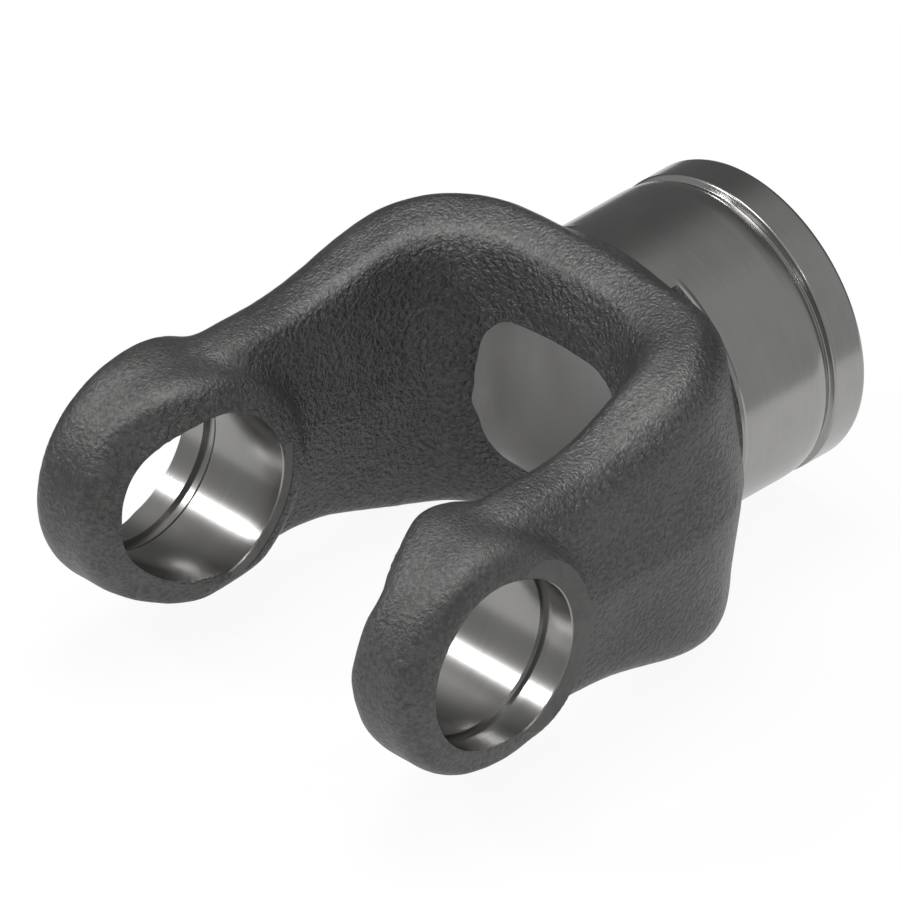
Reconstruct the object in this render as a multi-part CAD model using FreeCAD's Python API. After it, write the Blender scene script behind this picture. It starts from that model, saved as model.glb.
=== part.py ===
import FreeCAD
import Part
import math
import os

# Forged yoke: one steel forging, millimetres, cross-bore axis along X, hub axis along Y, Z up.
# The origin is the joint centre, where the two axes meet.

V = FreeCAD.Vector

# Cross bores and their retaining-ring grooves
BORE_R = 11.0
RING_INNER_X = 27.0
RING_W = 1.6
RING_DEPTH = 0.8
RING_LEAD = 0.35

# Machined ear faces
EAR_OUT_X = 31.9
EAR_IN_X = 15.5
SPOT_OUT_R = 14.6
SPOT_IN_R = 12.7

# Forged ears
LOBE_R = 15.15
LOBE_IN_EDGE_R = 2.3
LOBE_OUT_EDGE_R = 3.4
LOBE_CORE_R = 8.0
RAW_OVER = 0.3
RAW_UNDER = 0.1
TIP_SLOPE_X = 5.3
TIP_SLOPE_Y = 14.0
IN_DRAFT_DEG = 7.0
OUT_DRAFT_DEG = 9.0
OUT_FLAT_Z = 9.0
FOOT = 1.0
TOP_RELIEF = 1.6

# Forged arms and base
ARM_IN_X = 18.2
ARM_OUT_X = 30.0
ARM_TIP_Y = -6.0
ARM_Z = 15.0
ARM_RISE = 26.5
BASE_Z = 20.1
CROTCH_Y = 39.5
BACK_Y = 52.0
CORNER_R = 18.6
DRAFT_DEG = 7.0
IN_EDGE_R = 2.2
OUT_EDGE_R = 4.6
CROTCH_EDGE_R = 4.4
BACK_EDGE_R = 3.2
CROTCH_DROP = 0.5

# Turned hub
HUB_R = 19.0
HUB_BORE_R = 14.0
FUNNEL_Y = 47.0
FUNNEL_STEP = 0.3
HOLE_X = 11.2
HOLE_Z = 10.0
HUB_END_Y = 72.0
LAND_W = 3.5
GROOVE_W = 4.4
GROOVE_DEPTH = 1.3
HUB_CHAMFER = 0.5


def tan_deg(angle):
    return math.tan(math.radians(angle))


def smooth(t):
    t = min(max(t, 0.0), 1.0)
    return t * t * (3.0 - 2.0 * t)


def spline(points):
    curve = Part.BSplineCurve()
    curve.interpolate(points)
    return curve.toShape()


def arm_height(y):
    # Level along the arm, rising to the base, and sinking into the ear at the tip.
    rise = (BASE_Z - ARM_Z) * smooth(1.0 + (y - CROTCH_Y - 3.5) / ARM_RISE)
    sink = 3.6 * (1.0 - smooth((y - ARM_TIP_Y) / (8.0 - ARM_TIP_Y)))
    return ARM_Z + rise - sink


def arm_section(inner, outer, height, turn):
    # Drafted on both walls from the parting plane, with rounded top and bottom edges.
    # The turn runs from 0 on the arms to 1 in the middle of the crotch.
    dx = outer[0] - inner[0]
    dy = outer[1] - inner[1]
    width = math.hypot(dx, dy)
    lean = tan_deg(DRAFT_DEG)
    in_top = height - CROTCH_DROP * turn
    in_radius = IN_EDGE_R + (CROTCH_EDGE_R - IN_EDGE_R) * turn
    out_radius = OUT_EDGE_R + (BACK_EDGE_R - OUT_EDGE_R) * smooth((14.0 - abs(outer[0])) / 12.0)
    walls = []
    for top, radius in ((in_top, in_radius), (height, out_radius)):
        side = top - radius
        wall = [(lean * side * part, side * part) for part in (0.0, 0.4, 0.8)]
        centre = lean * side + radius
        for deg in (8.0, 30.0, 55.0, 80.0):
            t = math.radians(deg)
            wall.append((centre - radius * math.cos(t), side + radius * math.sin(t)))
        walls.append(wall)
    middle = 0.5 * (walls[0][-1][0] + width - walls[1][-1][0])
    profile = walls[0] + [(middle, 0.5 * (in_top + height))] + [(width - s, z) for s, z in reversed(walls[1])]
    edges = []
    for sign in (1.0, -1.0):
        points = []
        for s, z in profile:
            u = s / width
            points.append(V(inner[0] + dx * u, inner[1] + dy * u, sign * z))
        edges.append(spline(points))
    return Part.Wire(edges)


def fork_body():
    a = ARM_IN_X
    b = ARM_OUT_X
    c = CORNER_R
    cx = b - c
    cy = BACK_Y - c

    def corner(deg):
        t = math.radians(deg)
        return (cx + c * math.cos(t), cy + c * math.sin(t))

    in_bend = CROTCH_Y - 20.5
    out_bend = cy - 13.4

    def straight(part):
        return tuple((x, ARM_TIP_Y + part * (end - ARM_TIP_Y)) for x, end in ((a, in_bend), (b, out_bend)))

    half = [
        straight(0.0),
        straight(0.28),
        straight(0.52),
        straight(0.76),
        ((a - 0.1, in_bend), (b, out_bend)),
        ((a - 0.6, in_bend + 6.0), (b, 0.5 * (out_bend + cy))),
        ((a - 1.6, CROTCH_Y - 9.0), (b, cy)),
        ((a - 3.2, CROTCH_Y - 5.0), corner(22.5)),
        ((a - 5.6, CROTCH_Y - 2.2), corner(45.0)),
        ((a - 9.0, CROTCH_Y - 0.6), corner(67.5)),
        ((a - 13.0, CROTCH_Y), (0.8 * cx, BACK_Y)),
        ((0.0, CROTCH_Y), (0.0, BACK_Y)),
    ]
    wires = []
    mirror_half = [((-i[0], i[1]), (-o[0], o[1])) for i, o in reversed(half[:-1])]
    for inner, outer in half + mirror_half:
        height = arm_height(0.5 * (inner[1] + outer[1]))
        turn = smooth((inner[1] - CROTCH_Y + 10.0) / 10.0)
        wires.append(arm_section(inner, outer, height, turn))
    return Part.makeLoft(wires, True, False)


def raw_in(y, z):
    # The inner ear face falls away towards the tip and above and below the parting plane.
    t = min(max(-y / TIP_SLOPE_Y, 0.0), 1.0)
    slope = TIP_SLOPE_X * math.sin(0.5 * math.pi * t) ** 2
    relief = TOP_RELIEF * smooth((abs(z) - 5.0) / 6.0) * smooth((math.hypot(y, z) - BORE_R) / 2.8)
    relief *= smooth((2.0 - y) / 7.0) * (1.0 - smooth((-y - 9.0) / 4.0))
    return EAR_IN_X - RAW_OVER + slope + relief + abs(z) * tan_deg(IN_DRAFT_DEG)


def raw_out(y, z):
    # The outer ear face stands proud of its spot face on the hub side only.
    proud = (RAW_OVER + RAW_UNDER) * smooth(0.5 + y / LOBE_R) - RAW_UNDER
    return EAR_OUT_X + proud - max(abs(z) - OUT_FLAT_Z, 0.0) * tan_deg(OUT_DRAFT_DEG)


def ear_ring():
    wires = []
    count = 24
    for i in range(count):
        t = 2.0 * math.pi * i / count
        cy = math.cos(t)
        cz = math.sin(t)
        foot = FOOT * smooth((cy - 0.6) / 0.4)
        e = LOBE_IN_EDGE_R
        f = LOBE_OUT_EDGE_R

        def inner(r):
            return raw_in(r * cy, r * cz)

        def outer(r):
            return raw_out(r * cy, r * cz)

        x_in = inner(LOBE_R - e)
        x_out = outer(LOBE_R - f)
        section = [
            (inner(LOBE_CORE_R), LOBE_CORE_R),
            (inner(BORE_R), BORE_R),
            (x_in, LOBE_R - e),
            (x_in + 0.29 * e, LOBE_R - 0.29 * e + 0.3 * foot),
            (x_in + e + 0.2 * foot, LOBE_R + 0.9 * foot),
            (0.5 * (x_in + x_out), LOBE_R + foot),
            (x_out - f - 0.2 * foot, LOBE_R + 0.9 * foot),
            (x_out - 0.29 * f, LOBE_R - 0.29 * f + 0.3 * foot),
            (x_out, LOBE_R - f),
            (outer(0.5 * (LOBE_CORE_R + BORE_R)), 0.5 * (LOBE_CORE_R + BORE_R)),
            (outer(LOBE_CORE_R), LOBE_CORE_R),
        ]
        points = [V(x, r * cy, r * cz) for x, r in section]
        wires.append(Part.Wire([spline(points), Part.LineSegment(points[-1], points[0]).toShape()]))
    return Part.makeLoft(wires, True, False, True)


def x_cylinder(radius, x0, x1):
    return Part.makeCylinder(radius, x1 - x0, V(x0, 0.0, 0.0), V(1.0, 0.0, 0.0))


def x_cone(r0, r1, x0, x1):
    return Part.makeCone(r0, r1, x1 - x0, V(x0, 0.0, 0.0), V(1.0, 0.0, 0.0))


def ear_cuts():
    # Spot faces, bore, ring groove and the small edge breaks of the ear on the +X side.
    far = EAR_OUT_X + 5.0
    cuts = [
        x_cylinder(SPOT_OUT_R, EAR_OUT_X, far),
        x_cylinder(SPOT_IN_R, EAR_IN_X - 8.0, EAR_IN_X),
        x_cylinder(BORE_R, EAR_IN_X - 8.0, far),
        x_cylinder(BORE_R + RING_DEPTH, RING_INNER_X, RING_INNER_X + RING_W),
        x_cone(BORE_R, BORE_R + RING_LEAD, RING_INNER_X - RING_LEAD, RING_INNER_X),
    ]
    start = RING_INNER_X + RING_W
    cuts.append(x_cone(BORE_R + RING_LEAD, BORE_R, start, start + RING_LEAD))
    return cuts


def hub():
    y_land = HUB_END_Y - LAND_W
    y_groove = y_land - GROOVE_W
    floor = HUB_R - GROOVE_DEPTH
    c = HUB_CHAMFER
    outline = [
        V(0.0, CROTCH_Y + 5.0, 0.0),
        V(HUB_R, CROTCH_Y + 5.0, 0.0),
        V(HUB_R, y_groove, 0.0),
        V(floor, y_groove + 0.9, 0.0),
        V(floor, y_land - 1.1, 0.0),
        V(HUB_R, y_land, 0.0),
        V(HUB_R, HUB_END_Y - c, 0.0),
        V(HUB_R - c, HUB_END_Y, 0.0),
        V(0.0, HUB_END_Y, 0.0),
        V(0.0, CROTCH_Y + 5.0, 0.0),
    ]
    face = Part.Face(Part.makePolygon(outline))
    return face.revolve(V(0.0, 0.0, 0.0), V(0.0, 1.0, 0.0), 360.0)


def crotch_opening():
    # A rounded, roughly square window in the crotch widens smoothly into the round hub bore.
    corner = [(1.0, 0.0), (0.975, 0.42), (0.89, 0.76), (0.72, 0.97), (0.36, 1.0)]
    quarter = [(HOLE_X * a, HOLE_Z * b) for a, b in corner]
    ring = list(quarter)
    ring.append((0.0, HOLE_Z))
    ring += [(-x, z) for x, z in reversed(quarter)]
    ring += [(x, -z) for x, z in reversed(ring[1:-1])]
    wires = []
    wide = 0.5 * (CROTCH_Y + 1.5 + FUNNEL_Y)
    stations = ((CROTCH_Y - 6.0, 0.0), (CROTCH_Y + 1.5, 0.0), (wide, 0.6), (FUNNEL_Y + 0.5, 1.0))
    for y, blend in stations:
        points = []
        for x, z in ring:
            k = 1.0 + ((HUB_BORE_R - FUNNEL_STEP) / math.hypot(x, z) - 1.0) * blend
            points.append(V(k * x, y, k * z))
        curve = Part.BSplineCurve()
        curve.interpolate(points, PeriodicFlag=True)
        wires.append(Part.Wire([curve.toShape()]))
    return Part.makeLoft(wires, True, True)


def mirrored(shape):
    return shape.mirror(V(0.0, 0.0, 0.0), V(1.0, 0.0, 0.0))


def yoke():
    ear = ear_ring()
    body = fork_body()
    body = body.fuse([ear, mirrored(ear), hub()])
    cuts = ear_cuts()
    cuts += [mirrored(cut) for cut in cuts]
    depth = HUB_END_Y - FUNNEL_Y
    cuts.append(Part.makeCylinder(HUB_BORE_R, depth + 1.0, V(0.0, FUNNEL_Y, 0.0), V(0.0, 1.0, 0.0)))
    cuts.append(crotch_opening())
    return body.cut(cuts).Solids[0]


if __name__ == "__main__":
    os.makedirs("parts", exist_ok=True)
    yoke().exportStep("parts/yoke_forging.step")
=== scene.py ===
"""A forged universal-joint yoke with machined cross bores and a turned, grooved hub.

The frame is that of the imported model: +X along the cross bores, +Y along the hub axis from the joint
centre, +Z normal to the forging's parting plane. Blender and the materials work in metres. The classes
for the yoke's ears, hub, socket and forging hold millimetres.
"""

import logging
import math
from dataclasses import dataclass
from enum import Enum
from typing import Optional, Sequence, Union

import bpy
import numpy as np
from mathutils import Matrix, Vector, noise


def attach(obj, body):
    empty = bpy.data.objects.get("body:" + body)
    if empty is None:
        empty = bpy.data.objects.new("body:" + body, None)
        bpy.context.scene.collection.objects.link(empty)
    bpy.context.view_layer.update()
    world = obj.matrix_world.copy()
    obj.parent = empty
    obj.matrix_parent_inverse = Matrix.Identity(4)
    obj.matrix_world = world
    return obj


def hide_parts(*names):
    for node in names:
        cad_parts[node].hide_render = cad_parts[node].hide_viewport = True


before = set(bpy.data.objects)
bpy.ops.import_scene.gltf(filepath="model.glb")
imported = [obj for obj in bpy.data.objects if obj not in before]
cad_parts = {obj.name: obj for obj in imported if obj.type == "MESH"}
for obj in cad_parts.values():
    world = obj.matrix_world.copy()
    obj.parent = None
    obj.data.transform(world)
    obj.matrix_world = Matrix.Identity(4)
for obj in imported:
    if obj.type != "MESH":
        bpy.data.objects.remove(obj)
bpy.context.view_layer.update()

LOG = logging.getLogger("yoke")
MM = 0.001
TINY = 1e-6
NODE = "yoke_forging"
BODY = "root"

Colour = tuple[float, float, float]
Point = tuple[float, float, float]
Span = tuple[float, float]
Profile = Sequence[tuple[float, float]]


class Finish(Enum):
    """The surfaces of the yoke, in the order of its material slots."""

    SKIN = 0
    BORE = 1
    SPOT = 2
    HUB = 3
    SOCKET = 4


class Axis(Enum):
    """The axis that a turned form goes round, by its place in a vector."""

    CROSS = 0
    HUB = 1


class Wire:
    """An output socket that takes part in arithmetic, each operator adding a Math node."""

    def __init__(self, graph: "Graph", socket: Optional[bpy.types.NodeSocket]) -> None:
        """Keeps the graph and the socket."""
        self.graph = graph
        self.socket = socket

    def __add__(self, other: Union["Wire", float]) -> "Wire":
        """Sum."""
        return self.graph.math("ADD", self, other)

    def __radd__(self, other: float) -> "Wire":
        """Sum with a number on the left."""
        return self.graph.math("ADD", other, self)

    def __sub__(self, other: Union["Wire", float]) -> "Wire":
        """Difference."""
        return self.graph.math("SUBTRACT", self, other)

    def __rsub__(self, other: float) -> "Wire":
        """Difference from a number on the left."""
        return self.graph.math("SUBTRACT", other, self)

    def __mul__(self, other: Union["Wire", float]) -> "Wire":
        """Product."""
        return self.graph.math("MULTIPLY", self, other)

    def __rmul__(self, other: float) -> "Wire":
        """Product with a number on the left."""
        return self.graph.math("MULTIPLY", other, self)

    def ramp(self, low: float, high: float) -> "Wire":
        """Smooth step of this value.

        Args:
            low: the value that gives 0.
            high: the value that gives 1.

        Returns:
            A value from 0 to 1.
        """
        inputs = {"Value": self, "From Min": low, "From Max": high, "To Min": 0.0, "To Max": 1.0}
        return self.graph.node("ShaderNodeMapRange", {"interpolation_type": "SMOOTHSTEP"}, inputs)


class Graph:
    """A node tree that is written as expressions."""

    def __init__(self, tree: bpy.types.NodeTree) -> None:
        """Clears the tree and keeps it."""
        self.tree = tree
        tree.nodes.clear()

    def node(
        self,
        kind: str,
        settings: Optional[dict[str, object]] = None,
        inputs: Optional[dict[Union[int, str], object]] = None,
        output: Union[int, str] = 0,
    ) -> Wire:
        """Adds one node, settings first and then sockets.

        Args:
            kind: the node's type name.
            settings: its properties.
            inputs: values or wires by socket name or index.
            output: the output socket wanted.

        Returns:
            The chosen output, or a wire without a socket where the node has no output.
        """
        made = self.tree.nodes.new(kind)
        for name, value in (settings or {}).items():
            setattr(made, name, value)
        for name, value in (inputs or {}).items():
            socket = made.inputs[name]
            if isinstance(value, Wire):
                self.tree.links.new(value.socket, socket)
            elif isinstance(value, tuple) and socket.type == "RGBA":
                socket.default_value = (*value, 1.0)
            else:
                socket.default_value = value
        return Wire(self, made.outputs[output] if len(made.outputs) else None)

    def math(self, operation: str, *terms: Union[Wire, float]) -> Wire:
        """Adds a Math node.

        Args:
            operation: the Math node's operation.
            terms: its values or wires, in order.

        Returns:
            The node's result.
        """
        return self.node("ShaderNodeMath", {"operation": operation}, dict(enumerate(terms)))

    def part(self, vector: Wire, axis: str) -> Wire:
        """The X, Y or Z part of a vector."""
        return self.node("ShaderNodeSeparateXYZ", None, {"Vector": vector}, axis)

    def blend(self, factor: Wire, first: Union[Wire, Colour], second: Union[Wire, Colour]) -> Wire:
        """Mixes two colours.

        Args:
            factor: 0 gives the first colour and 1 the second.
            first: a colour or wire.
            second: a colour or wire.

        Returns:
            The mixed colour.
        """
        return self.node("ShaderNodeMix", {"data_type": "RGBA"}, {0: factor, 6: first, 7: second}, 2)

    def place(self, scale: Point = (1.0, 1.0, 1.0)) -> Wire:
        """The point on the yoke in metres, stretched along each axis."""
        point = self.node("ShaderNodeTexCoord", output="Object")
        return self.node("ShaderNodeVectorMath", {"operation": "MULTIPLY"}, {0: point, 1: scale})

    def noise(
        self,
        grain: float,
        detail: float = 2.0,
        rough: float = 0.5,
        scale: Point = (1.0, 1.0, 1.0),
    ) -> Wire:
        """Fractal noise on the yoke.

        Args:
            grain: size of a grain in metres.
            detail: octaves.
            rough: weight of each finer octave.
            scale: stretch along each axis.

        Returns:
            A value around 0.5.
        """
        inputs = {"Vector": self.place(scale), "Scale": 1.0 / grain, "Detail": detail, "Roughness": rough}
        return self.node("ShaderNodeTexNoise", {"noise_dimensions": "3D"}, inputs, "Fac")

    def bump(self, height: Wire, distance: float, below: Optional[Wire] = None) -> Wire:
        """Raises the surface by a height map.

        Args:
            height: the map, in which a step of 1 is the full relief.
            distance: relief in metres.
            below: a coarser bump to add to.

        Returns:
            The bent normal.
        """
        inputs: dict[Union[int, str], object] = {"Height": height, "Distance": distance, "Strength": 1.0}
        if below is not None:
            inputs["Normal"] = below
        return self.node("ShaderNodeBump", None, inputs)


def new_material(name: str) -> tuple[bpy.types.Material, Graph]:
    """Makes an empty node material.

    Args:
        name: the material's name.

    Returns:
        The material and its graph.
    """
    material = bpy.data.materials.new(name)
    material.use_nodes = True
    return material, Graph(material.node_tree)


def close_surface(graph: Graph, inputs: dict[Union[int, str], object]) -> None:
    """Ends a graph in one Principled shader.

    Args:
        graph: the material's graph.
        inputs: the shader's values and wires.
    """
    shader = graph.node("ShaderNodeBsdfPrincipled", None, inputs)
    graph.node("ShaderNodeOutputMaterial", None, {"Surface": shader})


@dataclass(frozen=True)
class ForgedSkin:
    """Dark shot-blasted forging skin: pebbled grain with painted shade in its pits and painted highlight on
    its crowns.

    The pebbles are tallest along the arms and between them, lower on the outsides of the ears, and give
    way to a finer grit on level faces. Lengths are in metres.
    """

    dark: Colour = (0.085, 0.084, 0.083)
    pale: Colour = (0.131, 0.129, 0.127)
    tone_span: Span = (0.38, 0.62)
    pebble_size: float = 0.60 * MM
    grit_size: float = 0.42 * MM
    dust_size: float = 0.22 * MM
    patch_size: float = 9.0 * MM
    relief: float = 0.88 * MM
    dust_relief: float = 0.04 * MM
    arms_y: Span = (2.0 * MM, 16.0 * MM)
    between_x: Span = (18.0 * MM, 22.0 * MM)
    level_z: Span = (0.40, 0.90)
    least_share: float = 0.18
    tall_share: float = 0.67
    patch_share: float = 0.40
    level_loss: float = 0.90
    grit_share: float = 0.20
    roughness: float = 0.26
    metallic: float = 0.75

    def material(self) -> bpy.types.Material:
        """Makes the material.

        Returns:
            The material.
        """
        material, graph = new_material("forged_skin")
        pebble = graph.noise(self.pebble_size, 3.0, 0.58)
        grit = graph.noise(self.grit_size, 3.0, 0.6)
        dust = graph.noise(self.dust_size, 2.0, 0.6)
        patch = graph.noise(self.patch_size)
        # The pebble noise that raises the bump also colours the skin: painted shade in the pits and painted
        # highlight on the crowns. The patch noise adds a random tone.
        tone = (0.7 * pebble + 0.3 * patch).ramp(*self.tone_span)
        arms = graph.part(graph.place(), "Y").ramp(*self.arms_y)
        across = graph.math("ABSOLUTE", graph.part(graph.place(), "X"))
        tall = graph.math("MAXIMUM", arms, 1.0 - across.ramp(*self.between_x))
        facing = graph.node("ShaderNodeNewGeometry", output="Normal")
        level = graph.part(facing, "Z").ramp(*self.level_z)
        share = self.least_share + self.tall_share * tall + self.patch_share * patch
        pebbles = (pebble - 0.5) * (share * (1.0 - self.level_loss * level))
        height = pebbles + (grit - 0.5) * (self.grit_share * level)
        close_surface(graph, {
            "Base Color": graph.blend(tone, self.dark, self.pale),
            "Metallic": self.metallic,
            "Roughness": self.roughness + 0.10 * patch + 0.06 * dust + 0.12 * (1.0 - arms),
            "Normal": graph.bump(dust, self.dust_relief, graph.bump(height, self.relief)),
        })
        return material


@dataclass(frozen=True)
class CutSteel:
    """Machined steel with fine tool lines, or an even grain where they are the same along each axis.

    The lines field counts them per metre along each axis, and the relief is their depth in metres.
    """

    name: str
    dark: Colour
    pale: Colour
    roughness: float
    lines: Point
    relief: float
    metallic: float = 1.0
    cloud_size: float = 6.0 * MM
    tone_span: Span = (0.35, 0.65)

    def material(self) -> bpy.types.Material:
        """Makes the material.

        Returns:
            The material.
        """
        material, graph = new_material(self.name)
        line = graph.noise(1.0, 3.0, 0.6, self.lines)
        cloud = graph.noise(self.cloud_size)
        tone = (0.5 * line + 0.5 * cloud).ramp(*self.tone_span)
        close_surface(graph, {
            "Base Color": graph.blend(tone, self.dark, self.pale),
            "Metallic": self.metallic,
            "Roughness": self.roughness + 0.03 * (line - 0.5) + 0.02 * (cloud - 0.5),
            "Normal": graph.bump(line, self.relief),
        })
        return material


FINISHES: dict[Finish, Union[ForgedSkin, CutSteel]] = {
    Finish.SKIN: ForgedSkin(),
    Finish.BORE: CutSteel(
        name="polished_bore",
        dark=(0.272, 0.269, 0.263),
        pale=(0.298, 0.294, 0.287),
        roughness=0.25,
        lines=(5000.0, 90.0, 90.0),
        relief=0.0002 * MM,
    ),
    Finish.SPOT: CutSteel(
        name="spot_face",
        dark=(0.085, 0.083, 0.081),
        pale=(0.115, 0.112, 0.110),
        roughness=0.40,
        lines=(900.0, 900.0, 900.0),
        relief=0.003 * MM,
        metallic=0.8,
    ),
    Finish.HUB: CutSteel(
        name="turned_hub",
        dark=(0.312, 0.309, 0.304),
        pale=(0.34, 0.337, 0.332),
        roughness=0.21,
        lines=(60.0, 4500.0, 60.0),
        relief=0.0003 * MM,
    ),
    # The wall of the hub bore is the same cut steel as the bore and the hub, but painted about twice as
    # pale: painted light inside the shaded socket.
    Finish.SOCKET: CutSteel(
        name="socket_wall",
        dark=(0.545, 0.54, 0.535),
        pale=(0.585, 0.58, 0.575),
        roughness=0.60,
        lines=(60.0, 4000.0, 60.0),
        relief=0.0006 * MM,
        metallic=0.7,
    ),
}


def mesh_object(name: str, points: np.ndarray, faces: Sequence[Sequence[int]]) -> bpy.types.Object:
    """Makes a mesh object.

    Args:
        name: the object's name.
        points: corners in metres.
        faces: corner indices of each face.

    Returns:
        The linked object.
    """
    mesh = bpy.data.meshes.new(name)
    mesh.from_pydata(points.tolist(), [], faces)
    mesh.update()
    obj = bpy.data.objects.new(name, mesh)
    bpy.context.scene.collection.objects.link(obj)
    return obj


def discard(obj: bpy.types.Object) -> None:
    """Removes a working object and its mesh.

    Args:
        obj: the object.
    """
    mesh = obj.data
    bpy.data.objects.remove(obj)
    bpy.data.meshes.remove(mesh)


def read_rows(items: bpy.types.bpy_prop_collection, name: str) -> np.ndarray:
    """Reads a vector of each vertex, face or corner of a mesh.

    Args:
        items: the vertices, faces or corners.
        name: the vector's property name.

    Returns:
        One row of three numbers for each item.
    """
    flat = np.empty(len(items) * 3)
    items.foreach_get(name, flat)
    return flat.reshape(-1, 3)


def tube(name: str, axis: Axis, rings: Sequence[tuple[float, np.ndarray]]) -> bpy.types.Object:
    """Closes a stack of rings into a solid.

    Args:
        name: the object's name.
        axis: the axis that the rings go round.
        rings: each ring's place along the axis and its two columns of cross positions, in mm.

    Returns:
        The closed solid, normals outwards.
    """
    count = len(rings[0][1])
    rows = []
    for along, cross in rings:
        station = np.full(count, along)
        if axis is Axis.CROSS:
            rows.append(np.column_stack((station, cross[:, 0], cross[:, 1])))
        else:
            rows.append(np.column_stack((cross[:, 1], station, cross[:, 0])))
    points = np.vstack(rows) * MM
    faces: list[list[int]] = []
    for row in range(len(rings) - 1):
        for i in range(count):
            j = (i + 1) % count
            a = row * count
            faces.append([a + i, a + j, a + count + j, a + count + i])
    last = (len(rings) - 1) * count
    faces.append(list(range(count))[::-1])
    faces.append([last + i for i in range(count)])
    return mesh_object(name, points, faces)


def all_round(count: int) -> np.ndarray:
    """Angles in even steps round a circle, in radians."""
    return np.arange(count) * 2.0 * math.pi / count


def unit_circle(angle: np.ndarray) -> np.ndarray:
    """The unit circle's point at each angle."""
    return np.column_stack((np.cos(angle), np.sin(angle)))


def turned(name: str, axis: Axis, profile: Profile, facets: int = 256) -> bpy.types.Object:
    """Turns a profile round an axis.

    Args:
        name: the object's name.
        axis: the axis of the turning.
        profile: places along the axis and radii, in mm.
        facets: facets round the axis.

    Returns:
        The closed solid.
    """
    circle = unit_circle(all_round(facets))
    return tube(name, axis, [(along, radius * circle) for along, radius in profile])


def fade(value: np.ndarray, span: Span) -> np.ndarray:
    """Smooth step of an array.

    Args:
        value: the values.
        span: the value that gives 0 and the value that gives 1, in either order.

    Returns:
        Shares from 0 to 1.
    """
    start, end = span
    t = np.clip((value - start) / (end - start), 0.0, 1.0)
    return t * t * (3.0 - 2.0 * t)


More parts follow.
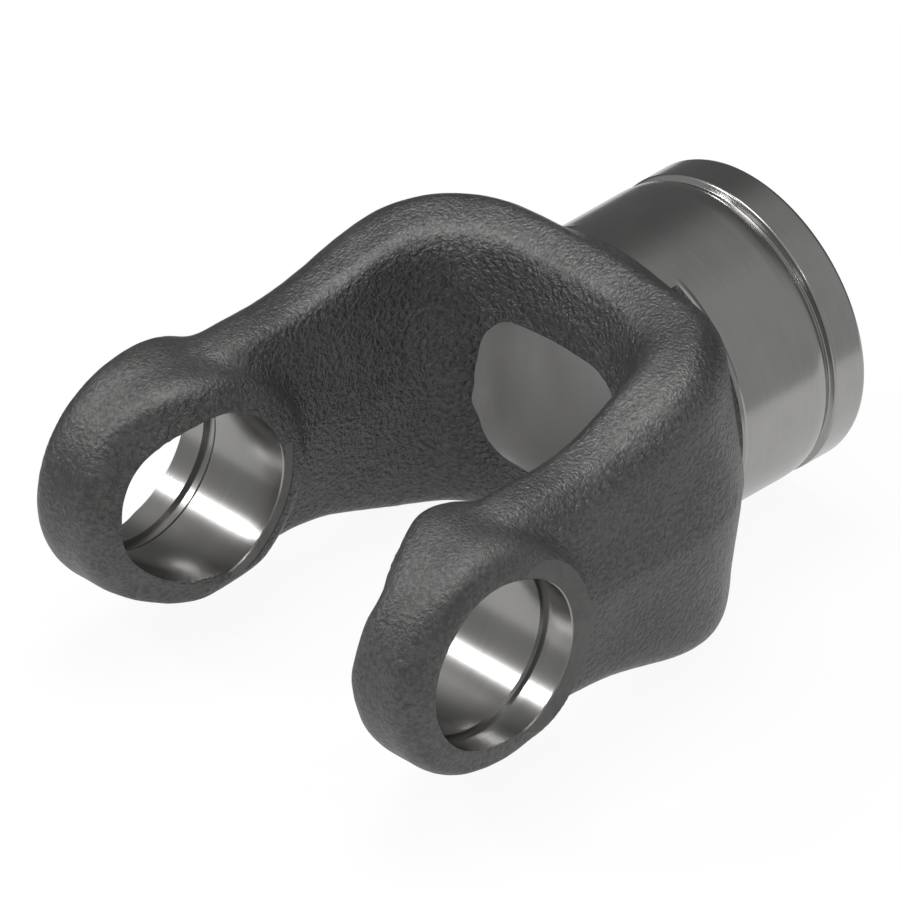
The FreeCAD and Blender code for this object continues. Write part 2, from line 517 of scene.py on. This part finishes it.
@dataclass
class Ears:
    """The machining of the two ears, in mm: cross bores, ring grooves, spot faces and their seats.

    The seat makes the outer faces proud of their spot faces on the hub side and shy of them at the tip.
    The pad levels the inner faces on the hub side. The seat's and the pad's spans in x are counted from
    the spot face, and those in r from its radius.
    """

    bore_r: float = 11.0
    ring_x: float = 27.0
    ring_w: float = 1.6
    ring_depth: float = 0.65
    ring_taper: float = 0.001
    lead: float = 0.20
    lead_run: float = 0.40
    out_x: float = 31.9
    in_x: float = 15.5
    spot_out_r: float = 14.6
    spot_in_r: float = 12.7
    edge: float = 0.15
    tip_x: float = 5.3
    tip_y: float = 14.0
    draft: float = 0.123
    proud: float = 0.3
    plug_over: float = 0.4
    plug_sunk: float = 0.25
    plug_facets: int = 96
    spot_facets: int = 192
    tool_run: float = 3.0
    seat_x: Span = (-1.2, -0.4)
    seat_r: Span = (2.5, 0.0)
    seat_y: Span = (-1.0, 8.0)
    seat_rise: float = 0.75
    seat_drop: float = 0.30
    pad_x: Span = (3.8, 2.8)
    pad_r: Span = (4.2, 0.6)
    pad_y: Span = (-1.0, 3.0)
    pad_top: Span = (2.0, -1.6)
    pad_foot: Span = (-14.5, -11.5)
    pad_proud: float = 0.05

    def inner_face(self, y: np.ndarray, z: np.ndarray) -> np.ndarray:
        """How far out the forged inner face of an ear lies.

        Args:
            y: places along the hub axis, in mm.
            z: heights, in mm.

        Returns:
            Distances from the joint centre along the cross axis, in mm.
        """
        tip = np.sin(0.5 * math.pi * np.clip(-y / self.tip_y, 0.0, 1.0)) ** 2
        return self.in_x - self.proud + self.tip_x * tip + np.abs(z) * self.draft

    def plugs(self) -> list[bpy.types.Object]:
        """Fills the bores level with the inner faces, before the skin is made.

        Returns:
            The two closed plugs.
        """
        count = self.plug_facets
        cross = (self.bore_r + self.plug_over) * unit_circle(all_round(count))
        near = self.inner_face(cross[:, 0], cross[:, 1]) + self.plug_sunk
        far = self.out_x - self.plug_over
        sides = []
        for sign in (1.0, -1.0):
            ends = [0.0, far] if sign > 0.0 else [-far, 0.0]
            plug = tube("ear_plug", Axis.CROSS, [(x, cross) for x in ends])
            first = 0 if sign > 0.0 else count
            for i, depth in enumerate(near):
                plug.data.vertices[first + i].co.x = sign * depth * MM
            sides.append(plug)
        return sides

    def seat(self, points: np.ndarray) -> np.ndarray:
        """Seats the outer faces for their spot faces and levels the inner ones.

        Args:
            points: the skin's points in metres.

        Returns:
            The moved points.
        """
        x = np.abs(points[:, 0]) / MM
        y = points[:, 1] / MM
        z = points[:, 2] / MM
        radius = np.hypot(points[:, 1], points[:, 2]) / MM
        near = fade(x - self.out_x, self.seat_x) * fade(radius - self.spot_out_r, self.seat_r)
        lift = self.seat_rise * fade(y, self.seat_y) - self.seat_drop
        pad = fade(radius - self.spot_in_r, self.pad_r) * fade(y, self.pad_y)
        pad *= fade(x - self.in_x, self.pad_x)
        low_half = fade(z, self.pad_top) * fade(z, self.pad_foot)
        above = x - self.in_x + self.pad_proud
        drop = above * pad * np.where(above > 0.0, low_half, 1.0)
        moved = points.copy()
        moved[:, 0] += np.sign(points[:, 0]) * (near * lift - drop) * MM
        return moved

    def cutters(self) -> list[bpy.types.Object]:
        """Makes the tools that cut the bores, the ring grooves and the spot faces.

        Returns:
            The closed tools.
        """
        r = self.bore_r
        ring_end = self.ring_x + self.ring_w
        half = [
            (self.in_x, r + self.edge),
            (self.in_x + self.edge, r),
            (self.ring_x - self.lead_run, r),
            (self.ring_x, r + self.lead),
            (self.ring_x + self.ring_taper, r + self.ring_depth),
            (ring_end - self.ring_taper, r + self.ring_depth),
            (ring_end, r),
            (self.out_x - self.edge, r),
            (self.out_x, r + self.edge),
            (self.out_x + self.tool_run, r + self.edge),
        ]
        profile = [(-x, radius) for x, radius in reversed(half)] + half
        bore = turned("bore_tool", Axis.CROSS, profile)
        inner = [(-self.in_x, self.spot_in_r), (self.in_x, self.spot_in_r)]
        spot = turned("inner_spot_tool", Axis.CROSS, inner, self.spot_facets)
        outer = []
        for sign in (1.0, -1.0):
            ends = sorted((sign * self.out_x, sign * (self.out_x + 2.0 * self.tool_run)))
            profile = [(x, self.spot_out_r) for x in ends]
            outer.append(turned("outer_spot_tool", Axis.CROSS, profile, self.spot_facets))
        return [bore, spot, *outer]


@dataclass
class Hub:
    """The turned hub with its retaining groove, in mm.

    The forging is cut off at back, and the hub's solid starts inside it, at start. Past root the faces may
    be turned ones. The bead's profile gives places from back and shares of the bead's height. The groove's
    gives places from its fork side, and the end's places from the end face, both with depths under the
    radius.
    """

    radius: float = 19.0
    bore_r: float = 14.0
    end: float = 72.0
    land: float = 4.6
    start: float = 47.0
    root: float = 49.0
    back: float = 51.95
    facets: int = 320
    bead: float = 0.22
    bead_side: Span = (0.35, 0.75)
    bead_profile: Profile = ((-0.10, 0.1), (0.05, 0.7), (0.18, 1.0), (0.32, 1.0), (0.50, 0.6), (0.75, 0.0))
    groove_profile: Profile = (
        (0.0, 0.0),
        (0.8, 0.03),
        (1.6, 0.12),
        (2.1, 0.28),
        (2.45, 0.55),
        (2.7, 0.85),
        (3.05, 0.85),
        (3.18, 0.73),
        (3.30, 0.30),
        (3.44, 0.08),
        (3.6, 0.0),
    )
    end_profile: Profile = ((-0.5, 0.0), (-0.15, 0.12), (0.0, 0.45))

    def flare(self, angle: np.ndarray) -> np.ndarray:
        """How far the bead at the root stands out of the hub on its two sides.

        Args:
            angle: angles in radians from +Z towards +X.

        Returns:
            Heights in mm.
        """
        return self.bead * fade(np.abs(np.sin(angle)), self.bead_side)

    def solid(self) -> bpy.types.Object:
        """Makes the turned outside, with the bead that the tool leaves at its root.

        Returns:
            The closed solid.
        """
        r = self.radius
        groove_y = self.end - self.land - self.groove_profile[-1][0]
        profile = [(self.start, r, 0.0)]
        profile += [(self.back + y, r, share) for y, share in self.bead_profile]
        profile += [(groove_y + y, r - depth, 0.0) for y, depth in self.groove_profile]
        profile += [(self.end + y, r - depth, 0.0) for y, depth in self.end_profile]
        angle = all_round(self.facets)
        circle = unit_circle(angle)
        flare = self.flare(angle)
        rings = [(y, (radius + share * flare)[:, None] * circle) for y, radius, share in profile]
        return tube("hub", Axis.HUB, rings)


@dataclass
class Socket:
    """The window in the crotch, the smooth widening behind it and the bore of the hub, in mm.

    Each wave round the window's rim has a weight, a count and a phase.
    """

    half_x: float = 11.2
    half_z: float = 10.1
    squareness: float = 4.3
    front: float = 33.0
    rim_end: float = 39.7
    straight: float = 40.4
    funnel: float = 53.0
    funnel_rings: int = 17
    bore_start: float = 53.01
    chamfer: float = 0.4
    tool_run: float = 3.0
    facets: int = 256
    wave: float = 0.16
    waves: Sequence[Point] = ((1.0, 7.0, 0.6), (0.7, 11.0, 2.1), (0.5, 17.0, 0.0))
    wall: Profile = ((0.0, 39.5), (5.2, 39.5), (9.2, 38.9), (12.6, 37.3), (15.0, 34.5))
    draft: float = 0.123
    plug_over: float = 0.7
    plug_sunk: float = 0.1
    plug_turn: Span = (40.6, 40.7)
    plug_bore_over: float = 0.4
    plug_short: float = 1.0
    plug_facets: int = 128

    def outline(self, angle: np.ndarray) -> np.ndarray:
        """Radius of the window's rim at each angle.

        Args:
            angle: angles in radians from +Z towards +X.

        Returns:
            Radii in mm.
        """
        n = self.squareness
        across = np.abs(np.sin(angle) / self.half_x) ** n
        up = np.abs(np.cos(angle) / self.half_z) ** n
        return (across + up) ** (-1.0 / n)

    def ripple(self, angle: np.ndarray) -> np.ndarray:
        """Waviness that the forging leaves along the rim, in mm, at each angle in radians."""
        return self.wave * sum(weight * np.sin(count * angle + phase) for weight, count, phase in self.waves)

    def plug(self, hub: Hub) -> bpy.types.Object:
        """Fills the window and the bore level with the crotch before the skin is made.

        Args:
            hub: the hub that the bore runs through.

        Returns:
            The closed plug.
        """
        angle = all_round(self.plug_facets)
        circle = unit_circle(angle)
        window = (self.outline(angle) + self.plug_over)[:, None] * circle
        bore = (hub.bore_r + self.plug_bore_over) * circle
        places, depths = zip(*self.wall)
        front = np.interp(np.abs(window[:, 1]), places, depths) + self.draft * np.abs(window[:, 0])
        plug = tube("socket_plug", Axis.HUB, [
            (0.0, window),
            (self.plug_turn[0], window),
            (self.plug_turn[1], bore),
            (hub.end - self.plug_short, bore),
        ])
        for vertex, depth in zip(plug.data.vertices, front + self.plug_sunk):
            vertex.co.y = depth * MM
        return plug

    def cutter(self, hub: Hub) -> bpy.types.Object:
        """Makes the tool that opens the window, the widening and the bore.

        Args:
            hub: the hub that the bore runs through.

        Returns:
            The closed tool.
        """
        angle = all_round(self.facets)
        circle = unit_circle(angle)
        window = self.outline(angle)
        rim = (window + self.ripple(angle))[:, None] * circle
        bore = hub.bore_r * circle
        mouth = (hub.bore_r + self.chamfer) * circle
        rings = [(self.front, rim), (self.rim_end, rim)]
        for part in np.linspace(0.0, 1.0, self.funnel_rings):
            radius = window + (hub.bore_r - window) * fade(part, (0.0, 1.0))
            rings.append((self.straight + part * (self.funnel - self.straight), radius[:, None] * circle))
        rings.append((self.bore_start, bore))
        rings.append((hub.end - self.chamfer, bore))
        rings.append((hub.end, mouth))
        rings.append((hub.end + self.tool_run, mouth))
        return tube("socket_tool", Axis.HUB, rings)


class SkinMesh:
    """The forged skin's points, neighbours and normals, for smoothing and relief."""

    SMOOTH = 0.50
    RESTORE = 0.52
    NORMALS_EVERY = 8
    NOISE_SHIFT = (17.3, 5.1, 9.7)

    def __init__(self, mesh: bpy.types.Mesh) -> None:
        """Reads the mesh into arrays.

        Args:
            mesh: the skin's mesh.
        """
        self.mesh = mesh
        self.points = read_rows(mesh.vertices, "co")
        pairs = np.empty(len(mesh.edges) * 2, np.int64)
        mesh.edges.foreach_get("vertices", pairs)
        pairs = pairs.reshape(-1, 2)
        self.heads = np.concatenate((pairs[:, 0], pairs[:, 1]))
        self.tails = np.concatenate((pairs[:, 1], pairs[:, 0]))
        neighbours = np.bincount(self.heads, minlength=len(self.points))
        self.valence = np.maximum(neighbours, 1)[:, None]

    def around(self, values: np.ndarray) -> np.ndarray:
        """Mean of each point's neighbours.

        Args:
            values: one row for each point.

        Returns:
            The means, one row for each point.
        """
        count = len(self.points)
        columns = [np.bincount(self.heads, values[self.tails, i], count) for i in range(values.shape[1])]
        return np.column_stack(columns) / self.valence

    def normals(self) -> np.ndarray:
        """Unit normals at the points."""
        self.write()
        return read_rows(self.mesh.vertices, "normal")

    def write(self) -> None:
        """Puts the points back into the mesh."""
        self.mesh.vertices.foreach_set("co", self.points.ravel())
        self.mesh.update()

    def relax(self, passes: int) -> None:
        """Takes the grid marks out of the skin without shrinking it.

        Args:
            passes: pairs of a smoothing and a restoring step.
        """
        for _ in range(passes):
            self.points += self.SMOOTH * (self.around(self.points) - self.points)
            self.points -= self.RESTORE * (self.around(self.points) - self.points)

    def fill_hollows(self, passes: int, ceiling: float) -> None:
        """Rounds hollow corners, as a forging die does, and leaves raised edges as they are.

        Args:
            passes: smoothing steps.
            ceiling: most that a point may rise, in metres.
        """
        start = self.points.copy()
        for step in range(passes):
            if step % self.NORMALS_EVERY == 0:
                normals = self.normals()
            pull = self.around(self.points) - self.points
            lift = np.einsum("ij,ij->i", pull, normals)
            self.points += np.where((lift > 0.0)[:, None], self.SMOOTH * pull, 0.0)
            rise = np.einsum("ij,ij->i", self.points - start, normals)
            self.points -= np.clip(rise - ceiling, 0.0, None)[:, None] * normals

    def roughen(self, layers: Sequence[tuple[float, float]], share: np.ndarray) -> None:
        """Moves the skin along its normals by layers of noise.

        Args:
            layers: grain size and height of each layer, in mm.
            share: 0 where a point stays and 1 where it moves.
        """
        normals = self.normals()
        lift = np.zeros(len(self.points))
        for layer, (grain, height) in enumerate(layers):
            shift = Vector((layer * self.NOISE_SHIFT[0], *self.NOISE_SHIFT[1:]))
            values = [noise.noise(Vector(p) / (grain * MM) + shift) for p in self.points]
            lift += height * MM * np.array(values)
        self.points += (lift * share)[:, None] * normals


@dataclass
class Forging:
    """The forged body, made fine enough to carry its grain, in mm.

    The smooth and draw spans in r are counted from the hub's radius, and the one in y from its root.
    """

    voxel: float = 0.55
    fillet_passes: int = 48
    fillet_rise: float = 0.9
    first_passes: int = 4
    last_passes: int = 2
    layers: Sequence[tuple[float, float]] = ((5.0, 0.05), (1.7, 0.028))
    smooth_r: Span = (0.6, 0.1)
    draw_r: Span = (0.9, 0.2)
    draw_y: Span = (0.8, 1.8)
    draw_in: float = 0.35

    def blank(self, ears: Ears, hub: Hub, socket: Socket) -> bpy.types.Object:
        """The unmachined forging.

        Args:
            ears: gives the plugs for the cross bores.
            hub: tells where the turned part starts.
            socket: gives the plug for the window and the hub bore.

        Returns:
            The closed blank.
        """
        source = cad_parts[NODE]
        base = bpy.data.objects.new("blank", source.data.copy())
        bpy.context.scene.collection.objects.link(base)
        joined = [base, *ears.plugs(), socket.plug(hub)]
        bpy.context.view_layer.update()
        with bpy.context.temp_override(
            active_object=base, selected_objects=joined, selected_editable_objects=joined
        ):
            bpy.ops.object.join()
        base.data.materials.clear()
        remesh = base.modifiers.new("fine", "REMESH")
        remesh.mode = "VOXEL"
        remesh.voxel_size = self.voxel * MM
        graph = bpy.context.evaluated_depsgraph_get()
        fine = bpy.data.meshes.new_from_object(base.evaluated_get(graph))
        old = base.data
        base.modifiers.clear()
        base.data = fine
        bpy.data.meshes.remove(old)
        self.finish_skin(fine, ears, hub)
        return base

    def finish_skin(self, mesh: bpy.types.Mesh, ears: Ears, hub: Hub) -> None:
        """Smooths, rounds and roughens the blank and draws it in under the hub.

        Args:
            mesh: the blank's mesh.
            ears: seats the ear faces for their spot faces.
            hub: the turned hub that covers its end, where the skin stays smooth.
        """
        skin = SkinMesh(mesh)
        skin.relax(self.first_passes)
        skin.fill_hollows(self.fillet_passes, self.fillet_rise * MM)
        skin.relax(self.last_passes)
        radius = np.hypot(skin.points[:, 0], skin.points[:, 2]) / MM
        on_hub = fade(radius - hub.radius, self.smooth_r) * (skin.points[:, 1] > hub.root * MM)
        skin.roughen(self.layers, 1.0 - on_hub)
        skin.points = ears.seat(skin.points)
        radius = np.hypot(skin.points[:, 0], skin.points[:, 2]) / MM
        under = fade(radius - hub.radius, self.draw_r)
        under *= fade(skin.points[:, 1] / MM - hub.root, self.draw_y)
        excess = np.clip(radius - (hub.radius - self.draw_in), 0.0, None)
        draw = 1.0 - under * excess / np.maximum(radius, TINY)
        skin.points[:, 0] *= draw
        skin.points[:, 2] *= draw
        skin.write()


@dataclass(frozen=True)
class FaceTest:
    """How a machined face is told from the skin: lengths in mm, slopes as cosines, bends in degrees."""

    near: float = 0.1
    exact: float = 0.01
    edge_slack: float = 0.03
    ears_end: float = 20.0
    facing: float = 0.3
    flat: float = 0.9999
    hub_over: float = 0.001
    hub_under: float = 2.0
    hub_exact: float = 0.02
    hub_round: float = 0.999
    past_fork: float = 60.0
    bead_y: Span = (-0.15, 0.8)
    bead_under: float = 0.05
    end_run: float = 0.5
    end_flat: float = 0.99
    window_y: float = 34.0
    window_over: float = 0.5
    window_wall: float = 0.5
    past_straight: float = 0.3
    skin_bend: float = 35.0
    hub_bend: float = 26.0
    cut_bend: float = 9.0
    true_wall: float = 0.9995


@dataclass
class Yoke:
    """The finished yoke."""

    forging: Forging
    ears: Ears
    hub: Hub
    socket: Socket
    test: FaceTest = FaceTest()
    end_half: float = 40.0
    end_y: float = 80.0

    def machined(self) -> bpy.types.Object:
        """Cuts the blank and joins the hub to it.

        Returns:
            The yoke as one object with a plain mesh.
        """
        base = self.forging.blank(self.ears, self.hub, self.socket)
        square = self.end_half * np.array([(1.0, 1.0), (-1.0, 1.0), (-1.0, -1.0), (1.0, -1.0)])
        end = tube("end_tool", Axis.HUB, [(y, square) for y in (self.hub.back, self.end_y)])
        tools = [("DIFFERENCE", end), ("UNION", self.hub.solid())]
        tools += [("DIFFERENCE", tool) for tool in self.ears.cutters()]
        tools.append(("DIFFERENCE", self.socket.cutter(self.hub)))
        for operation, tool in tools:
            step = base.modifiers.new(tool.name, "BOOLEAN")
            step.operation = operation
            step.solver = "MANIFOLD"
            step.object = tool
        graph = bpy.context.evaluated_depsgraph_get()
        mesh = bpy.data.meshes.new_from_object(base.evaluated_get(graph))
        mesh.name = "yoke"
        discard(base)
        for _, tool in tools:
            discard(tool)
        yoke = bpy.data.objects.new("yoke", mesh)
        bpy.context.scene.collection.objects.link(yoke)
        return yoke

    def mark_ears(self, centre: np.ndarray, normal: np.ndarray, finish: np.ndarray) -> None:
        """Marks the faces of the cross bores, their ring grooves and the spot faces.

        Args:
            centre: each face's centre, in mm.
            normal: each face's normal.
            finish: each face's Finish value, which is changed in place.
        """
        ears = self.ears
        test = self.test
        x = np.abs(centre[:, 0])
        bore_r = np.hypot(centre[:, 1], centre[:, 2])
        in_ear = (x > ears.in_x - test.near) & (x < ears.out_x + test.near) & (centre[:, 1] < test.ears_end)
        towards = -(normal[:, 1] * centre[:, 1] + normal[:, 2] * centre[:, 2]) / np.maximum(bore_r, TINY)
        in_bore = (bore_r < ears.bore_r + ears.edge + test.edge_slack) & (towards > test.facing)
        in_ring = np.abs(x - ears.ring_x - 0.5 * ears.ring_w) < 0.5 * ears.ring_w + test.exact
        in_ring &= (bore_r > ears.bore_r - test.near) & (bore_r < ears.bore_r + ears.ring_depth + test.near)
        finish[in_ear & (in_bore | in_ring)] = Finish.BORE.value
        at_out = (np.abs(x - ears.out_x) < test.exact) & (bore_r < ears.spot_out_r + test.near)
        at_in = (np.abs(x - ears.in_x) < test.exact) & (bore_r < ears.spot_in_r + test.near)
        finish[(np.abs(normal[:, 0]) > test.flat) & (at_out | at_in)] = Finish.SPOT.value

    def mark_hub(self, centre: np.ndarray, normal: np.ndarray, finish: np.ndarray) -> None:
        """Marks the faces of the turned hub, of its bore and of the window.

        Args:
            centre: each face's centre, in mm.
            normal: each face's normal.
            finish: each face's Finish value, which is changed in place.
        """
        hub = self.hub
        test = self.test
        y = centre[:, 1]
        hub_r = np.hypot(centre[:, 0], centre[:, 2])
        outward = (normal[:, 0] * centre[:, 0] + normal[:, 2] * centre[:, 2]) / np.maximum(hub_r, TINY)
        shell = (y > hub.root) & (hub_r < hub.radius + test.hub_over) & (hub_r > hub.radius - test.hub_under)
        cylinder = (np.abs(hub_r - hub.radius) < test.hub_exact) & (outward > test.hub_round)
        finish[shell & (cylinder | (y > test.past_fork))] = Finish.HUB.value
        flare = hub.flare(np.arctan2(centre[:, 0], centre[:, 2]))
        bead = (y > hub.back + test.bead_y[0]) & (y < hub.back + test.bead_y[1]) & (outward > test.facing)
        bead &= (hub_r > hub.radius - test.bead_under) & (hub_r < hub.radius + flare + test.exact)
        finish[bead] = Finish.HUB.value
        at_end = (y > hub.end - test.end_run) & ((hub_r > hub.bore_r) | (normal[:, 1] > test.end_flat))
        finish[at_end] = Finish.HUB.value
        wall = (np.abs(normal[:, 1]) < test.window_wall) | (y > self.socket.straight + test.past_straight)
        wall &= (y > test.window_y) & (hub_r < hub.bore_r + test.window_over) & (outward < -test.facing)
        finish[wall] = Finish.SOCKET.value

    def sort_faces(self, mesh: bpy.types.Mesh) -> np.ndarray:
        """Tells which finish each face has, from its place and its normal.

        Args:
            mesh: the machined mesh.

        Returns:
            One Finish value for each face.
        """
        centre = read_rows(mesh.polygons, "center") / MM
        normal = read_rows(mesh.polygons, "normal")
        finish = np.full(len(centre), Finish.SKIN.value)
        self.mark_ears(centre, normal, finish)
        self.mark_hub(centre, normal, finish)
        return finish

    def round_normals(self, mesh: bpy.types.Mesh, finish: np.ndarray) -> None:
        """Sets the sharp edges and gives the turned walls the normals of true cylinders.

        Args:
            mesh: the machined mesh.
            finish: the finish of each face.
        """
        test = self.test
        edges = len(mesh.edges)
        loops = len(mesh.loops)
        owner = np.repeat(np.arange(len(mesh.polygons)), [p.loop_total for p in mesh.polygons])
        edge_of = np.empty(loops, np.int64)
        mesh.loops.foreach_get("edge_index", edge_of)
        low = np.full(edges, len(Finish))
        high = np.full(edges, -1)
        np.minimum.at(low, edge_of, finish[owner])
        np.maximum.at(high, edge_of, finish[owner])
        face_normal = read_rows(mesh.polygons, "normal")
        total = np.zeros((edges, 3))
        np.add.at(total, edge_of, face_normal[owner])
        skin_edge = (low == Finish.SKIN.value) & (high == Finish.SKIN.value)
        hub_edge = (low == high) & ((low == Finish.HUB.value) | (low == Finish.SOCKET.value))
        bend = np.where(skin_edge, test.skin_bend, np.where(hub_edge, test.hub_bend, test.cut_bend))
        limit = 2.0 * np.cos(np.radians(bend))
        sharp = (low != high) | (np.linalg.norm(total, axis=1) < limit)
        mesh.polygons.foreach_set("use_smooth", np.ones(len(mesh.polygons), bool))
        mesh.edges.foreach_set("use_edge_sharp", sharp)
        mesh.update()
        corner = read_rows(mesh.corner_normals, "vector")
        vertex_of = np.empty(loops, np.int64)
        mesh.loops.foreach_get("vertex_index", vertex_of)
        point = read_rows(mesh.vertices, "co")[vertex_of]
        for kind, axis, sign in ((Finish.BORE, Axis.CROSS, -1.0), (Finish.HUB, Axis.HUB, 1.0)):
            radial = point.copy()
            radial[:, axis.value] = 0.0
            radial *= sign / np.maximum(np.linalg.norm(radial, axis=1), TINY * MM)[:, None]
            facing = np.einsum("ij,ij->i", radial, face_normal[owner])
            chosen = (finish[owner] == kind.value) & (facing > test.true_wall)
            corner[chosen] = radial[chosen]
        mesh.normals_split_custom_set(corner.tolist())

    def build(self) -> bpy.types.Object:
        """Makes, dresses and places the yoke.

        Returns:
            The finished piece.
        """
        yoke = self.machined()
        finish = self.sort_faces(yoke.data)
        yoke.data.materials.clear()
        for kind in Finish:
            yoke.data.materials.append(FINISHES[kind].material())
        yoke.data.polygons.foreach_set("material_index", finish)
        self.round_normals(yoke.data, finish)
        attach(yoke, BODY)
        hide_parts(NODE)
        counts = {kind.name: int((finish == kind.value).sum()) for kind in Finish}
        LOG.info("faces of each finish: %s", counts)
        return yoke


@dataclass(frozen=True)
class Lamp:
    """A soft rectangular lamp that faces the yoke, with its place and size in metres and power in watts."""

    name: str
    place: Point
    size: tuple[float, float]
    power: float
    target: Point = (0.0, 25.0 * MM, 0.0)

    def build(self) -> None:
        """Adds the lamp."""
        data = bpy.data.lights.new(self.name, "AREA")
        data.shape = "RECTANGLE"
        data.size, data.size_y = self.size
        data.energy = self.power
        obj = bpy.data.objects.new(self.name, data)
        bpy.context.scene.collection.objects.link(obj)
        obj.location = self.place
        obj.rotation_euler = (Vector(self.target) - obj.location).to_track_quat("-Z", "Y").to_euler()


@dataclass
class Studio:
    """Floor, sky, lamps and the camera.

    The aim, the view's width and the floor's sizes are in mm. The sky is a base strength with a paler top,
    a paler +X side and a paler stretch at the front of the -X side.
    """

    azimuth: float = 45.0
    elevation: float = 34.5
    distance: float = 500.0
    aim: Point = (-3.985, 26.80, 0.0)
    width: float = 104.384
    clip: Span = (10.0, 10000.0)
    floor_z: float = -20.4
    floor_x: Span = (-95.0, 74.0)
    floor_y: Span = (-110.0, 150.0)
    floor_colour: Colour = (0.72, 0.72, 0.72)
    floor_glow: float = 1.09
    camera_glow_loss: float = 0.06
    seen_share: float = 0.66
    camera_share: float = 0.24
    sky_base: float = 0.17
    sky_top: float = 0.42
    sky_top_z: Span = (0.60, 1.0)
    sky_side: float = 0.36
    sky_side_x: Span = (0.0, 0.6)
    sky_front: float = 0.33
    sky_front_x: Span = (0.30, 0.60)
    sky_front_y: Span = (0.0, 0.50)
    lamps: Sequence[Lamp] = (
        Lamp("key", (-0.33, -0.27, 0.38), (0.095, 0.095), 0.90),
        Lamp("top", (-0.11, 0.07, 0.64), (0.36, 0.30), 2.25),
        Lamp("rim", (0.35, 0.00, 0.36), (0.04, 0.04), 0.12),
    )

    def floor(self) -> None:
        """The plain pale floor, near white to the camera, to gloss and through glass."""
        x0, x1 = (x * MM for x in self.floor_x)
        y0, y1 = (y * MM for y in self.floor_y)
        z = self.floor_z * MM
        points = np.array([(x0, y0, z), (x1, y0, z), (x1, y1, z), (x0, y1, z)])
        obj = mesh_object("floor", points, [[0, 1, 2, 3]])
        material, graph = new_material("floor_paper")
        lit = graph.node("ShaderNodeBsdfDiffuse", None, {"Color": self.floor_colour})
        camera = graph.node("ShaderNodeLightPath", output="Is Camera Ray")
        glossy = graph.node("ShaderNodeLightPath", output="Is Glossy Ray")
        through = graph.node("ShaderNodeLightPath", output="Is Transmission Ray")
        seen = graph.math("MINIMUM", camera + glossy + through, 1.0)
        strength = self.floor_glow - self.camera_glow_loss * camera
        glow = graph.node("ShaderNodeEmission", None, {"Color": (1.0, 1.0, 1.0), "Strength": strength})
        share = self.seen_share * seen + self.camera_share * camera
        mixed = graph.node("ShaderNodeMixShader", None, {0: share, 1: lit, 2: glow})
        graph.node("ShaderNodeOutputMaterial", None, {"Surface": mixed})
        obj.data.materials.append(material)

    def world(self) -> None:
        """A soft sky that is white to the camera."""
        world = bpy.data.worlds.new("studio")
        world.use_nodes = True
        bpy.context.scene.world = world
        graph = Graph(world.node_tree)
        direction = graph.node("ShaderNodeTexCoord", output="Generated")
        side = graph.part(direction, "X")
        depth = graph.part(direction, "Y")
        height = graph.part(direction, "Z")
        front = (0.0 - side).ramp(*self.sky_front_x) * (0.0 - depth).ramp(*self.sky_front_y)
        sky = self.sky_base + self.sky_top * height.ramp(*self.sky_top_z)
        sky = sky + self.sky_side * side.ramp(*self.sky_side_x) + self.sky_front * front
        camera = graph.node("ShaderNodeLightPath", output="Is Camera Ray")
        strength = camera + (1.0 - camera) * sky
        back = graph.node("ShaderNodeBackground", None, {"Color": (1.0, 1.0, 1.0), "Strength": strength})
        graph.node("ShaderNodeOutputWorld", None, {"Surface": back})

    def camera(self) -> None:
        """Puts the camera at the photograph's angle."""
        data = bpy.data.cameras.new("camera")
        data.type = "ORTHO"
        data.ortho_scale = self.width * MM
        data.clip_start, data.clip_end = (MM * end for end in self.clip)
        obj = bpy.data.objects.new("camera", data)
        bpy.context.scene.collection.objects.link(obj)
        a = math.radians(self.azimuth)
        e = math.radians(self.elevation)
        back = Vector((math.sin(a) * math.cos(e), -math.cos(a) * math.cos(e), math.sin(e)))
        obj.location = (Vector(self.aim) + self.distance * back) * MM
        obj.rotation_euler = (-back).to_track_quat("-Z", "Y").to_euler()
        bpy.context.scene.camera = obj

    def build(self) -> None:
        """Sets the stage."""
        self.floor()
        self.world()
        for lamp in self.lamps:
            lamp.build()
        self.camera()
        bpy.context.scene.view_settings.view_transform = "Standard"


def main() -> None:
    """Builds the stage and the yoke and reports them."""
    logging.basicConfig(level=logging.INFO, format="%(name)s: %(message)s")
    studio = Studio()
    studio.build()
    LOG.info("stage: floor, sky, camera and %d lamps", len(studio.lamps))
    yoke = Yoke(Forging(), Ears(), Hub(), Socket()).build()
    LOG.info("%s: %d points and %d faces", yoke.name, len(yoke.data.vertices), len(yoke.data.polygons))


if __name__ == "__main__":
    main()
